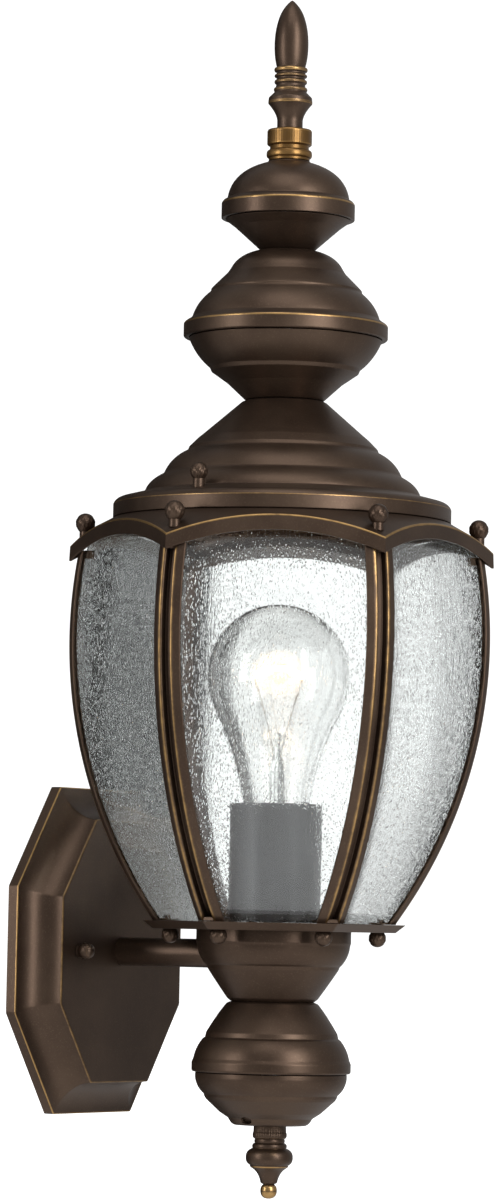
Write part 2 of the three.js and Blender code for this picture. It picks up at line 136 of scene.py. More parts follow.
def makeStage(s):
    half = s["floorSize"] / 2
    corners = [(-half, -half), (half, -half), (half, half), (-half, half)]
    mesh = bpy.data.meshes.new("floor")
    mesh.from_pydata([(x, y, s["floorZ"]) for x, y in corners], [], [(0, 1, 2, 3)])
    floor = bpy.data.objects.new("floor", mesh)
    bpy.context.scene.collection.objects.link(floor)
    material = bpy.data.materials.new("floorPaper")
    material.use_nodes = True
    shader = material.node_tree.nodes["Principled BSDF"]
    shader.inputs["Base Color"].default_value = (*s["floorColour"], 1)
    shader.inputs["Roughness"].default_value = 0.9
    shader.inputs["Emission Color"].default_value = (1, 1, 1, 1)
    tree = material.node_tree
    tree.links.new(whenSeen(tree, 0.0, s["white"]), shader.inputs["Emission Strength"])
    mesh.materials.append(material)
    bpy.context.scene.view_settings.view_transform = "Standard"
    makeSky(s)
    makeCards(s["card"])
    for box in s["boxes"]:
        softBox(*box, s["aimZ"])


# White to look at, straight or through glass, and a softer grey to light and be reflected.
def makeSky(s):
    world = bpy.data.worlds.new("studio")
    bpy.context.scene.world = world
    world.use_nodes = True
    tree = world.node_tree
    sky = tree.nodes["Background"]
    sky.inputs["Color"].default_value = (1, 1, 1, 1)
    tree.links.new(whenSeen(tree, s["sky"], s["white"]), sky.inputs["Strength"])


# Two dark cards beyond the cage, seen only through the glass: each is a strip whose edges are given
# at every height, spread out from the eye as they stand further away than the lantern's axis.
def makeCards(s):
    toward = levelDirection(s["bearing"])
    right = np.array(toward.cross(Vector((0, 0, 1))))
    z = np.concatenate([[s["low"]], np.linspace(0, s["cageTop"], 41), [s["high"]]])
    belly = s["bowCentre"] + np.sqrt(s["bow"] ** 2 - (np.clip(z, 0, s["cageTop"]) - s["bowZ"]) ** 2)
    strips = {
        "darkCardLeft": (np.full_like(z, -s["farLeft"]), np.full_like(z, -s["innerLeft"])),
        "darkCardRight": (belly - s["rightBand"], belly + s["overlap"]),
    }
    for name, edges in strips.items():
        sides = np.stack(edges)[..., None] * right
        sides[..., 2] = s["eyeZ"] / s["spread"] + (z - s["eyeZ"])
        points = sides * s["spread"] * mm + np.array(axisPlace + toward * s["away"])
        count = len(z)
        low = np.arange(count - 1)
        quads = np.stack([low, low + count, low + count + 1, low + 1], -1)
        mesh = bpy.data.meshes.new(name)
        mesh.from_pydata(points.reshape(-1, 3).tolist(), [], quads.tolist())
        mesh.materials.append(darkPaper(s["paper"]))
        card = bpy.data.objects.new(name, mesh)
        bpy.context.scene.collection.objects.link(card)
        card.visible_camera = False
        card.visible_shadow = False
        card.visible_diffuse = False
        card.visible_glossy = name == "darkCardLeft"


def darkPaper(grey):
    material = bpy.data.materials.new("darkPaper")
    material.use_nodes = True
    shader = material.node_tree.nodes["Principled BSDF"]
    shader.inputs["Base Color"].default_value = (grey, grey, grey, 1)
    shader.inputs["Roughness"].default_value = 1.0
    shader.inputs["Specular IOR Level"].default_value = 0.0
    return material


makeStage(stageSettings)
print("camera and stage ready")

# Node groups that several finishes share.


def newGroup(name, inputs, outputs):
    group = bpy.data.node_groups.new(name, "ShaderNodeTree")
    for socketName, value in inputs.items():
        socket = group.interface.new_socket(socketName, in_out="INPUT", socket_type="NodeSocketFloat")
        socket.default_value = value
    for socketName, kind in outputs.items():
        group.interface.new_socket(socketName, in_out="OUTPUT", socket_type=kind)
    return group, group.nodes.new("NodeGroupInput"), group.nodes.new("NodeGroupOutput")


def noiseNode(tree, scale, detail=4.0, stretch=None):
    place = tree.nodes.new("ShaderNodeTexCoord")
    noise = tree.nodes.new("ShaderNodeTexNoise")
    noise.inputs["Scale"].default_value = scale
    noise.inputs["Detail"].default_value = detail
    noise.inputs["Roughness"].default_value = 0.55
    source = place.outputs["Object"]
    if stretch:
        mapping = tree.nodes.new("ShaderNodeMapping")
        mapping.inputs["Scale"].default_value = stretch
        tree.links.new(source, mapping.inputs["Vector"])
        source = mapping.outputs["Vector"]
    tree.links.new(source, noise.inputs["Vector"])
    return noise


def mathNode(tree, operation, first, second=None, third=None):
    node = tree.nodes.new("ShaderNodeMath")
    node.operation = operation
    for place, value in enumerate((first, second, third)):
        if value is None:
            continue
        if isinstance(value, (int, float)):
            node.inputs[place].default_value = value
        else:
            tree.links.new(value, node.inputs[place])
    return node.outputs[0]


def rampNode(tree, source, low, high, fromValue=0.0, toValue=1.0):
    node = tree.nodes.new("ShaderNodeMapRange")
    node.interpolation_type = "SMOOTHSTEP"
    node.inputs["From Min"].default_value = low
    node.inputs["From Max"].default_value = high
    node.inputs["To Min"].default_value = fromValue
    node.inputs["To Max"].default_value = toValue
    tree.links.new(source, node.inputs["Value"])
    return node.outputs["Result"]


def mixNode(tree, factor, first, second):
    node = tree.nodes.new("ShaderNodeMix")
    node.data_type = "RGBA"
    for socketName, value in (("Factor", factor), ("A", first), ("B", second)):
        socket = [s for s in node.inputs if s.name == socketName and s.enabled][0]
        if isinstance(value, tuple):
            socket.default_value = (*value, 1)
        elif isinstance(value, (int, float)):
            socket.default_value = value
        else:
            tree.links.new(value, socket)
    return [s for s in node.outputs if s.enabled][0]


# Where the paint is rubbed away, and along the ribs' ridges also a painted sheen of brass: the piece's own
# mask of rubbed edges and painted sheen, broken up by two sizes of noise.
def makeRubAndSheenGroup():
    group, enter, leave = newGroup(
        "rubbedEdgesAndSheen", {"Amount": 1.0}, {"Mask": "NodeSocketFloat"})
    mark = group.nodes.new("ShaderNodeAttribute")
    mark.attribute_name = "rubAndSheen"
    coarse = noiseNode(group, 160.0, 3.0)
    fine = noiseNode(group, 900.0, 4.0)
    broken = mathNode(group, "MULTIPLY_ADD", coarse.outputs["Fac"], 0.9, 0.35)
    grain = mathNode(group, "MULTIPLY_ADD", fine.outputs["Fac"], 0.5, 0.75)
    raw = mathNode(group, "MULTIPLY", mark.outputs["Fac"], broken)
    raw = mathNode(group, "MULTIPLY", raw, grain)
    raw = mathNode(group, "MULTIPLY", raw, enter.outputs["Amount"])
    group.links.new(rampNode(group, raw, 0.18, 0.72), leave.inputs["Mask"])
    return group


# Sprayed finish: slow clouds in the colour, fine speckle, and an orange-peel height.
def makePatinaGroup():
    group, enter, leave = newGroup(
        "patina", {},
        {"Cloud": "NodeSocketFloat", "Speckle": "NodeSocketFloat", "Height": "NodeSocketFloat"})
    cloud = noiseNode(group, 26.0, 5.0)
    speck = noiseNode(group, 1500.0, 2.0)
    peel = noiseNode(group, 620.0, 3.0)
    group.links.new(rampNode(group, cloud.outputs["Fac"], 0.3, 0.7), leave.inputs["Cloud"])
    group.links.new(rampNode(group, speck.outputs["Fac"], 0.56, 0.7), leave.inputs["Speckle"])
    group.links.new(peel.outputs["Fac"], leave.inputs["Height"])
    return group


# Seed layers: cells a metre, how much they are drawn out upright, a seed's radius in cells, and the
# share of cells left empty.
seedLayers = ((420.0, 0.6, 0.16, 0.72), (900.0, 0.5, 0.3, 0.4), (1150.0, 0.3, 0.32, 0.35))


# Drawn seeded glass: long upright ripples and small oval seeds of mixed sizes.
def makeSeedGroup():
    group, enter, leave = newGroup(
        "seedsAndRipples", {"Seeds": 1.0, "Ripples": 1.0},
        {"Height": "NodeSocketFloat", "Seed": "NodeSocketFloat"})
    wide = noiseNode(group, 60.0, 3.0, stretch=(1, 1, 0.16))
    streak = noiseNode(group, 900.0, 3.0, stretch=(1, 1, 0.09))
    place = group.nodes.new("ShaderNodeTexCoord")
    total = None
    for scale, long, edge, share in seedLayers:
        squash = group.nodes.new("ShaderNodeMapping")
        squash.inputs["Scale"].default_value = (scale, scale, scale * long)
        cells = group.nodes.new("ShaderNodeTexVoronoi")
        cells.inputs["Scale"].default_value = 1.0
        group.links.new(place.outputs["Object"], squash.inputs["Vector"])
        group.links.new(squash.outputs["Vector"], cells.inputs["Vector"])
        chance = group.nodes.new("ShaderNodeSeparateColor")
        group.links.new(cells.outputs["Color"], chance.inputs["Color"])
        here = rampNode(group, chance.outputs["Red"], share, share + 0.05)
        dot = rampNode(group, cells.outputs["Distance"], edge * 0.3, edge, 300.0 / scale, 0.0)
        seed = mathNode(group, "MULTIPLY", here, dot)
        total = seed if total is None else mathNode(group, "MAXIMUM", total, seed)
    seeds = mathNode(group, "MULTIPLY", total, enter.outputs["Seeds"])
    ripple = mathNode(group, "MULTIPLY_ADD", wide.outputs["Fac"], 0.2, streak.outputs["Fac"])
    ripple = mathNode(group, "MULTIPLY", ripple, enter.outputs["Ripples"])
    group.links.new(mathNode(group, "ADD", seeds, ripple), leave.inputs["Height"])
    group.links.new(total, leave.inputs["Seed"])
    return group


rubAndSheenGroup = makeRubAndSheenGroup()
patinaGroup = makePatinaGroup()
seedGroup = makeSeedGroup()
print("node groups ready")

# Finishes.


def newMaterial(name):
    material = bpy.data.materials.new(name)
    material.use_nodes = True
    tree = material.node_tree
    return material, tree, tree.nodes["Principled BSDF"]


def useGroup(tree, group, **values):
    node = tree.nodes.new("ShaderNodeGroup")
    node.node_tree = group
    for key, value in values.items():
        node.inputs[key].default_value = value
    return node


def bumpFrom(tree, shader, height, distance):
    bump = tree.nodes.new("ShaderNodeBump")
    bump.inputs["Distance"].default_value = distance
    bump.inputs["Strength"].default_value = 1.0
    tree.links.new(height, bump.inputs["Height"])
    tree.links.new(bump.outputs["Normal"], shader.inputs["Normal"])


bronzeSettings = {
    "dark": (0.058, 0.036, 0.0245), "light": (0.086, 0.056, 0.038), "speck": (0.13, 0.09, 0.06),
    "brass": (0.4, 0.245, 0.098), "roughness": 0.4, "metal": 0.82, "rubAndSheen": 0.9, "peel": 0.00003,
}
collarSettings = dict(
    bronzeSettings, dark=(0.13, 0.07, 0.022), light=(0.24, 0.13, 0.042), brass=(0.42, 0.24, 0.085),
    metal=0.88, rubAndSheen=1.0, roughness=0.36)


# Bronze paint with brass wherever the mask says: real rubbed edges, and on the ribs a painted sheen of
# brass that stands for a highlight.
def rubbedMetal(name, s):
    material, tree, shader = newMaterial(name)
    patina = useGroup(tree, patinaGroup)
    rubAndSheen = useGroup(tree, rubAndSheenGroup, Amount=s["rubAndSheen"])
    paint = mixNode(tree, patina.outputs["Cloud"], s["dark"], s["light"])
    faint = mathNode(tree, "MULTIPLY", patina.outputs["Speckle"], 0.35)
    paint = mixNode(tree, faint, paint, s["speck"])
    tree.links.new(mixNode(tree, rubAndSheen.outputs["Mask"], paint, s["brass"]), shader.inputs["Base Color"])
    metal = mathNode(tree, "MULTIPLY_ADD", rubAndSheen.outputs["Mask"], 0.95 - s["metal"], s["metal"])
    tree.links.new(metal, shader.inputs["Metallic"])
    rough = mathNode(tree, "MULTIPLY_ADD", patina.outputs["Cloud"], 0.09, s["roughness"] - 0.045)
    rough = mathNode(tree, "MULTIPLY_ADD", rubAndSheen.outputs["Mask"], -0.08, rough)
    tree.links.new(rough, shader.inputs["Roughness"])
    bumpFrom(tree, shader, patina.outputs["Height"], s["peel"])
    return material


def plainFinish(name, colour, other, roughness, metal, scale=60.0, peel=0.00003):
    material, tree, shader = newMaterial(name)
    noise = noiseNode(tree, scale, 6.0)
    fine = noiseNode(tree, scale * 18, 3.0)
    blend = rampNode(tree, noise.outputs["Fac"], 0.32, 0.68)
    tree.links.new(mixNode(tree, blend, colour, other), shader.inputs["Base Color"])
    rough = mathNode(tree, "MULTIPLY_ADD", fine.outputs["Fac"], 0.16, roughness - 0.08)
    tree.links.new(rough, shader.inputs["Roughness"])
    shader.inputs["Metallic"].default_value = metal
    bumpFrom(tree, shader, fine.outputs["Fac"], peel)
    return material


seededSettings = {
    "tint": (0.93, 0.95, 0.945), "ior": 1.48, "seedRough": 0.12, "relief": 0.0003, "seeds": 0.48,
    "ripples": 0.05,
}


def seededGlass(name, s):
    material, tree, shader = newMaterial(name)
    seeds = useGroup(tree, seedGroup, Seeds=s["seeds"], Ripples=s["ripples"])
    shader.inputs["Base Color"].default_value = (*s["tint"], 1)
    shader.inputs["Transmission Weight"].default_value = 1.0
    shader.inputs["IOR"].default_value = s["ior"]
    rough = mathNode(tree, "MULTIPLY", seeds.outputs["Seed"], s["seedRough"])
    tree.links.new(rough, shader.inputs["Roughness"])
    bumpFrom(tree, shader, seeds.outputs["Height"], s["relief"])
    return material


def lampGlass(name, tint, ior):
    material, tree, shader = newMaterial(name)
    wave = noiseNode(tree, 45.0, 2.0)
    shader.inputs["Base Color"].default_value = (*tint, 1)
    shader.inputs["Transmission Weight"].default_value = 1.0
    shader.inputs["IOR"].default_value = ior
    rough = mathNode(tree, "MULTIPLY", wave.outputs["Fac"], 0.006)
    tree.links.new(rough, shader.inputs["Roughness"])
    bumpFrom(tree, shader, wave.outputs["Fac"], 0.0001)
    return material


def glowing(name, colour, strength):
    material, tree, shader = newMaterial(name)
    noise = noiseNode(tree, 900.0, 2.0)
    warm = mixNode(tree, noise.outputs["Fac"], colour, (1.0, 0.62, 0.3))
    tree.links.new(warm, shader.inputs["Emission Color"])
    shader.inputs["Base Color"].default_value = (0.3, 0.3, 0.3, 1)
    shader.inputs["Emission Strength"].default_value = strength
    return material


def glowVeil(name, colour, veil, strength):
    material, tree, shader = newMaterial(name)
    noise = noiseNode(tree, 120.0, 2.0)
    shader.inputs["Base Color"].default_value = (*colour, 1)
    warm = mixNode(tree, noise.outputs["Fac"], colour, (1.0, 0.9, 0.78))
    tree.links.new(warm, shader.inputs["Emission Color"])
    shader.inputs["Emission Strength"].default_value = strength
    shader.inputs["Roughness"].default_value = 1.0
    shader.inputs["Specular IOR Level"].default_value = 0.0
    alpha = mathNode(tree, "MULTIPLY_ADD", noise.outputs["Fac"], veil, veil / 2)
    tree.links.new(alpha, shader.inputs["Alpha"])
    return material


finishes = {
    "bronze": rubbedMetal("antiqueBronze", bronzeSettings),
    "collar": rubbedMetal("agedBrass", collarSettings),
    "seeded": seededGlass("seededGlass", seededSettings),
    "bulb": lampGlass("bulbGlass", (0.94, 0.94, 0.935), 1.5),
    "stem": lampGlass("stemGlass", (0.95, 0.96, 0.95), 1.45),
    "sleeve": plainFinish("greySleeve", (0.012, 0.012, 0.013), (0.022, 0.022, 0.024), 0.46, 0.0, 40.0),
    "phenolic": plainFinish("blackPhenolic", (0.012, 0.012, 0.013), (0.025, 0.024, 0.023), 0.45, 0.0),
    "zinc": plainFinish("zincPlate", (0.42, 0.43, 0.44), (0.6, 0.6, 0.58), 0.38, 0.95, 90.0),
    "capBrass": plainFinish("capBrass", (0.55, 0.42, 0.2), (0.68, 0.54, 0.28), 0.3, 0.95, 70.0),
    "insulation": plainFinish("leadInsulation", (0.015, 0.015, 0.016), (0.03, 0.03, 0.03), 0.5, 0.0),
    "wire": plainFinish("supportWire", (0.35, 0.33, 0.3), (0.5, 0.46, 0.4), 0.35, 0.95, 200.0),
    "filament": glowing("glowingFilament", (1.0, 0.78, 0.5), 40.0),
    "glow": glowVeil("filamentGlow", (1.0, 0.84, 0.68), 0.1, 1.0),
}
print("finishes ready:", len(finishes))

# Surfaces as whole arrays.


# Outline entries are (r, z), (r, z, rub) or ((control), (end)): a curve by a quadratic from the last
# point. Gives knots, which of them are corners, and how rubbed each one is.
def readOutline(entries, curveSteps=12):
    knots, corners, rubs = [], [], []
    for entry in entries:
        if isinstance(entry[0], tuple):
            control, end = np.array(entry[0][:2]), entry[1]
            t = np.linspace(0, 1, curveSteps + 1)[1:-1, None]
            bend = (1 - t) ** 2 * knots[-1] + 2 * t * (1 - t) * control + t ** 2 * np.array(end[:2])
            knots.extend(bend)
            corners.extend([False] * len(bend))
            rubs.extend([entry[0][2] if len(entry[0]) > 2 else 0.0] * len(bend))
        else:
            end = entry
        knots.append(np.array(end[:2], float))
        corners.append(True)
        rubs.append(end[2] if len(end) > 2 else 0.0)
    return np.array(knots), np.array(corners), np.array(rubs)


# Each corner becomes a small quadratic arc between points "soft" before and after it, with an
# unrubbed point "band" further out on both sides. Works on any stack of outlines at once.
def softenOutline(knots, corners, rubs, soft=0.3, band=0.45, steps=4, closed=True):
    before = knots - np.roll(knots, 1, axis=-2)
    after = np.roll(knots, -1, axis=-2) - knots
    reachBefore = np.linalg.norm(before, axis=-1, keepdims=True) + 1e-9
    reachAfter = np.linalg.norm(after, axis=-1, keepdims=True) + 1e-9
    cut = np.minimum(soft, 0.4 * np.minimum(reachBefore, reachAfter))
    outBefore = np.minimum(cut + band, 0.49 * reachBefore)
    outAfter = np.minimum(cut + band, 0.49 * reachAfter)
    before, after = before / reachBefore, after / reachAfter
    t = np.linspace(0, 1, steps + 1)[:, None]
    pieces, marks = [], []
    count = knots.shape[-2]
    for i in range(count):
        at = knots[..., i : i + 1, :]
        if not corners[i] or (not closed and i in (0, count - 1)):
            pieces.append(at)
            marks.append([rubs[i]])
            continue
        start = at - before[..., i : i + 1, :] * cut[..., i : i + 1, :]
        stop = at + after[..., i : i + 1, :] * cut[..., i : i + 1, :]
        arc = (1 - t) ** 2 * start + 2 * t * (1 - t) * at + t ** 2 * stop
        first = at - before[..., i : i + 1, :] * outBefore[..., i : i + 1, :]
        last = at + after[..., i : i + 1, :] * outAfter[..., i : i + 1, :]
        pieces.append(np.concatenate([first, arc, last], axis=-2))
        marks.append([0.0] + [rubs[i]] * (steps + 1) + [0.0])
    return np.concatenate(pieces, axis=-2), np.concatenate(marks)


# Points given in mm about the lantern's axis, as places in the frame.
def placed(points):
    return points * mm + np.array(axisPlace)


# Quads over a grid of points (rows u, columns v), either direction closing on itself; a column
# whose points all coincide is one pole, and the quads beside it become triangles.
def gridFaces(points, closeU, closeV):
    rows, columns = points.shape[:2]
    index = np.arange(rows * columns).reshape(rows, columns)
    spread = np.abs(points - points[:1]).max(axis=(0, 2))
    poles = spread < 1e-9
    index[:, poles] = index[0, poles]
    here = index if closeU else index[:-1]
    there = np.roll(index, -1, axis=0) if closeU else index[1:]
    step = np.arange(columns) if closeV else np.arange(columns - 1)
    nextStep = (step + 1) % columns
    quads, triangles = [], []
    a, b, c, d = here[:, step], there[:, step], there[:, nextStep], here[:, nextStep]
    lowPole, highPole = poles[step], poles[nextStep]
    plain = ~lowPole & ~highPole
    quads.append(np.stack([a, b, c, d], -1)[:, plain].reshape(-1, 4))
    low = lowPole & ~highPole
    triangles.append(np.stack([a, c, d], -1)[:, low].reshape(-1, 3))
    high = highPole & ~lowPole
    triangles.append(np.stack([a, b, d], -1)[:, high].reshape(-1, 3))
    return [np.concatenate(quads), np.concatenate(triangles)]


def newPiece(name, points, polygons, finish, body, nodes=(), rubAndSheen=None, sharp=35.0):
    points = np.asarray(points, float).reshape(-1, 3)
    polygons = [np.asarray(p) for p in polygons if len(p)]
    used, polygonIndex = np.unique(np.concatenate([p.ravel() for p in polygons]), return_inverse=True)
    sizes = np.concatenate([np.full(len(p), p.shape[1]) for p in polygons])
    starts = np.concatenate([[0], np.cumsum(sizes)[:-1]])
    mesh = bpy.data.meshes.new(name)
    mesh.vertices.add(len(used))
    mesh.vertices.foreach_set("co", points[used].astype(np.float32).ravel())
    mesh.loops.add(len(polygonIndex))
    mesh.loops.foreach_set("vertex_index", polygonIndex.ravel().astype(np.int32))
    mesh.polygons.add(len(sizes))
    mesh.polygons.foreach_set("loop_start", starts.astype(np.int32))
    mesh.update(calc_edges=True)
    mesh.validate()
    faceOutwards(mesh)
    mesh.polygons.foreach_set("use_smooth", np.ones(len(mesh.polygons), bool))
    mesh.set_sharp_from_angle(angle=math.radians(sharp))
    # The per-point mark of rubbed edges; on the ribs it also holds a painted sheen, a painted highlight.
    mark = mesh.attributes.new("rubAndSheen", "FLOAT", "POINT")
    values = np.zeros(len(used)) if rubAndSheen is None else np.asarray(rubAndSheen, float).ravel()[used]
    mark.data.foreach_set("value", values.astype(np.float32))
    mesh.materials.append(finishes[finish])
    piece = bpy.data.objects.new(name, mesh)
    bpy.context.scene.collection.objects.link(piece)
    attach(piece, body)
    if nodes:
        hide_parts(*nodes)


# A closed skin from a grid whose rows go right round, each point with its rub mark.
def ringPiece(name, points, marks, body, nodes, finish="bronze", closeV=True):
    faces = gridFaces(points, True, closeV)
    newPiece(name, points, faces, finish, body, nodes, np.broadcast_to(marks, points.shape[:2]))


# The two flat ends of a swept loop of points.
def endCaps(columns, rows, flip=False):
    first, last = np.arange(columns)[::-1], (rows - 1) * columns + np.arange(columns)
    return np.stack([first[::-1], last[::-1]] if flip else [first, last])


# A closed mesh has positive volume when its faces point outwards.
def faceOutwards(mesh):
    mesh.calc_loop_triangles()
    corners = np.zeros(len(mesh.loop_triangles) * 3, np.int32)
    mesh.loop_triangles.foreach_get("vertices", corners)
    places = np.zeros(len(mesh.vertices) * 3, np.float32)
    mesh.vertices.foreach_get("co", places)
    a, b, c = places.reshape(-1, 3).astype(float)[corners.reshape(-1, 3)].transpose(1, 0, 2)
    if np.einsum("ij,ij->i", a, np.cross(b, c)).sum() < 0:
        mesh.flip_normals()


# An outline turned about a line: each point goes round at its own radius.
def spinPoints(outline, segments, place, frameAxes, knurl=None):
    angle = np.linspace(0, 2 * np.pi, segments, endpoint=False)[:, None]
    r, h = outline[None, :, 0] * np.ones_like(angle), outline[None, :, 1] * np.ones_like(angle)
    if knurl:
        r = r + knurl(angle, h, r)
    e1, e2, e3 = (np.array(e) for e in frameAxes)
    across = r[..., None] * (np.sin(angle)[..., None] * e1 - np.cos(angle)[..., None] * e2)
    return np.array(place) + (across + h[..., None] * e3) * mm


def turnedPiece(name, body, nodes, entries, finish="bronze", segments=144, soft=0.3, band=0.45,
                place=None, frameAxes=upFrame, knurl=None, steps=4):
    knots, corners, rubs = readOutline(entries)
    onAxis = abs(knots[0, 0]) < 1e-9 and abs(knots[-1, 0]) < 1e-9
    outline, marks = softenOutline(knots, corners, rubs, soft, band, steps, closed=not onAxis)
    outline[:, 0] = np.maximum(outline[:, 0], 0.0)
    if place is None:
        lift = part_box(nodes[0])[0].z - outline[:, 1].min() * mm
        place = Vector((axisPlace.x, axisPlace.y, lift))
    points = spinPoints(outline, segments, place, frameAxes, knurl)
    ringPiece(name, points, marks, body, nodes, finish, not onAxis)


# Crossed diagonal cuts round a band between two heights, like a rolled knurl.
def knurled(low, high, count, depth, lean=1.0):
    def shape(angle, h, r):
        inside = np.clip(np.minimum(h - low, high - h) / 0.6, 0, 1)
        turn = count * angle
        slope = lean * 2 * np.pi * (h - low) / (high - low)
        cuts = np.abs(np.sin((turn + slope) / 2)) * np.abs(np.sin((turn - slope) / 2))
        return -depth * inside * (1 - cuts)
    return shape


# Stack above the roof.

finialSettings = {
    "top": [
        (0, 367.5), (3.3, 367.5), (3.3, 354.8), (5.5, 354.8), (5.5, 358.5),
        ((5.9, 361.7), (9.5, 365.7, 0.7)), (9.5, 366.3, 0.6), (9.3, 368.2), (6.9, 370.6), (7.0, 371.0),
        ((7.5, 371.7, 0.6), (7.0, 372.4, 0.4)),
        (6.4, 372.7), (6.2, 373.9), (6.9, 374.5), ((7.2, 375.1, 0.6), (6.8, 375.7)), (6.1, 376.1),
        (6.1, 376.9), (6.9, 377.2), ((7.2, 377.7, 0.5), (6.8, 378.2)), (6.2, 378.5), (6.2, 379.2),
        (6.9, 379.5), ((7.5, 380.3, 0.75), (6.9, 381.1)), (6.1, 381.4),
        ((7.3, 385.5), (7.3, 391)), ((7.3, 398.3), (5.1, 404)), ((3.6, 407.7), (0.6, 410.3)), (0, 410.6),
    ],
    "collar": [
        (3.3, 340.9), (8.8, 340.9), (8.8, 342.0), ((10.1, 342.2, 0.5), (9.7, 344.4)),
        ((9.6, 345.3), (8.4, 345.6)), (8.3, 347.2), (9.2, 347.5), (9.6, 348.0, 0.6), (9.6, 353.6, 0.6),
        (9.2, 354.3), (3.3, 354.4),
    ],
}
turnedPiece("finialTop", "finial_top", ["finial_top"], finialSettings["top"], segments=96)
turnedPiece("finialCollar", "roof", ["finial_collar"], finialSettings["collar"], "collar",
            segments=216, soft=0.2, knurl=knurled(347.8, 353.8, 60, 0.05, 0.0))

capSettings = {
    "dome": [
        (26.2, 315.6), (28.6, 315.6), (28.6, 322.2, 0.85), (27.8, 323.3), (26.2, 324.2),
        ((24.7, 336.0), (9.5, 340.0)), (9.1, 340.6), (3.3, 340.6), (3.3, 339.3),
        (8.5, 338.7), ((23.5, 334.8), (24.6, 323.7)), (26.2, 320.5),
    ],
    "cone": [
        (3.3, 302.0), (11.3, 302.0), (22.6, 312.1), (26.9, 315.3), (24.9, 315.3), (21.6, 313.1),
        (10.8, 303.3), (3.3, 303.3),
    ],
}
turnedPiece("capDome", "roof", ["cap_dome"], capSettings["dome"])
turnedPiece("capCone", "roof", ["cap_cone"], capSettings["cone"])

bowlSettings = {
    "upper": [
        (41.2, 264.1), (43.3, 264.1), (43.75, 264.6), (43.75, 269.9, 0.85), (43.2, 270.6), (41.3, 271.8),
        (40.2, 272.7), ((38.5, 278.9), (33, 283.4)), (32.4, 284.1), (32.3, 285.0, 0.25), (31.2, 286.2),
        (25.4, 292.0), (24.2, 293.8), (23.4, 295.2), ((20.5, 299.9), (13.2, 301.7)), (3.3, 301.7),
        (3.3, 300.5), (12.8, 300.5), (21.9, 295.2), (30.9, 284), (38.6, 272.6), (41.2, 269.4),
    ],
    "lower": [
        (3.3, 237.5), (16.7, 237.5), (24.6, 244.8), (29.6, 248.3), (31.5, 249.6, 0.2), (32.2, 251.3),
        ((37.4, 255.4), (40.3, 261.4)), (41.4, 263.8), (39.9, 263.8), ((36.6, 256.8), (31.5, 252.3)),
        (16.2, 238.7), (3.3, 238.7),
    ],
}
turnedPiece("bowlUpper", "roof", ["bowl_upper"], bowlSettings["upper"])
turnedPiece("bowlLower", "roof", ["bowl_lower"], bowlSettings["lower"])

roofSettings = {
    "shell": [
        (70.8, 185.8), (72.2, 185.8), (72.2, 191.6, 0.65), ((71.6, 193.4), (69.6, 194.2)), (60.6, 196.5),
        (59.0, 197.0), ((57.9, 201.6), (51.6, 204.8, 0.1)), (50.8, 205.5),
        ((48.1, 212.0), (41.5, 215.1, 0.1)), (40.8, 215.7), (40.3, 217.0), (36.6, 220.7), (34.2, 222.7),
        (18.2, 236.6), (16.7, 237.2), (3.3, 237.2), (3.3, 236), (15.8, 236), (32.8, 221.8),
        (39.2, 215.6), (49.4, 204.8), (57.9, 195.9), (70.8, 191.7),
    ],
}
turnedPiece("roofShell", "roof", ["roof"], roofSettings["shell"], segments=192)
print("roof and stack made")

# Ball-headed fasteners.

# Ball radius, neck height and shank length of each kind, and the wall nuts' outline.
ballSettings = {
    "crown": (4.3, 0.2, 11), "roof": (3.85, 1.6, 10), "tray": (3.8, 1.2, 4.8),
    "canopy": [
        (0, 2.6), (2, 2.6), (2, 0), (2.9, 0), (2.7, 1), ((4.3, 2.6), (3.05, 5.8, 0.4)),
        ((1.9, 7.3), (0, 7.4)),
    ],
}
downFrame = (Vector((1, 0, 0)), Vector((0, -1, 0)), Vector((0, 0, -1)))
outFrame = (Vector((1, 0, 0)), Vector((0, 0, 1)), Vector((0, -1, 0)))


# A ball on a short neck with a washer below: the ball is a half-circle outline, rolled with a knurl.
def ballOutline(ball, neck, shank, washer=2.5):
    centre = neck + ball * 0.8
    start = math.asin(min(0.98, (centre - neck) / ball))
    angle = np.linspace(-start, math.pi / 2, 14)
    outline = [(0, -shank), (1.5, -shank), (1.5, -3.2), (washer, -3.2), (washer, neck * 0.55),
               (ball * 0.62, neck)]
    arc = [(ball * math.cos(a), centre + ball * math.sin(a)) for a in angle]
    return outline, arc[1:-1] + [(0.0, centre + ball)]


def ballPiece(name, body, node, sizes, down=False):
    ball, neck, shank = sizes
    low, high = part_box(node)
    reach = (neck + 1.8 * ball) * mm
    base = low.z + reach if down else high.z - reach
    place = ((low.x + high.x) / 2, (low.y + high.y) / 2, base)
    stem, arc = ballOutline(ball, neck, shank)
    outline = np.array(stem + arc)
    corners = np.array([True] * len(stem) + [False] * len(arc))
    marks = np.zeros(len(outline))
    soft, rubAndSheen = softenOutline(outline, corners, marks, 0.15, 0.2, 2, closed=False)
    top = outline[-1, 1]
    middle = top - ball
    level = np.clip((soft[:, 1] - middle) / ball, -1, 1)
    rubAndSheen = np.where(soft[:, 1] > neck, 0.22 * np.clip(1 - np.abs(level - 0.3) * 1.6, 0, 1), 0.0)
    knurl = knurled(middle - ball * 0.75, middle + ball * 0.75, 16, 0.3, 1.5)
    points = spinPoints(soft, 72, place, downFrame if down else upFrame, knurl)
    ringPiece(name, points, rubAndSheen, body, [node], closeV=False)


